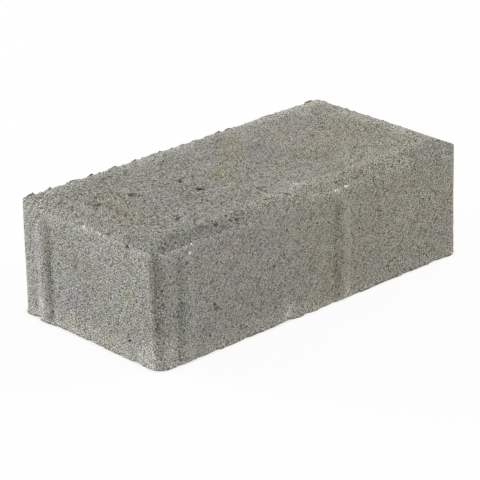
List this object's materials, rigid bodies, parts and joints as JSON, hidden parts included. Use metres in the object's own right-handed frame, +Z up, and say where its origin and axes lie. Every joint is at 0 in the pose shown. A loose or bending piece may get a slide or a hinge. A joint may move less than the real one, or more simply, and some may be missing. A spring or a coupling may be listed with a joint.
{
  "type": "concrete paving stone",
  "caption": "Oblong concrete paving stone, twice as long as wide, with a chamfered wearing face, rounded corners and tapered spacer lugs on its sides.",
  "frame": {"origin": "middle of the bedding face, on the surface that the stone lies on", "axes": "+X along the long sides, +Y across the stone, +Z up out of the wearing face"},
  "size_m": [0.2014, 0.1014, 0.061],
  "materials": {
    "concrete": "dry-pressed grey concrete, matt and open-grained"
  },
  "bodies": {
    "root": {"paving_stone": "concrete"}
  },
  "joints": []
}
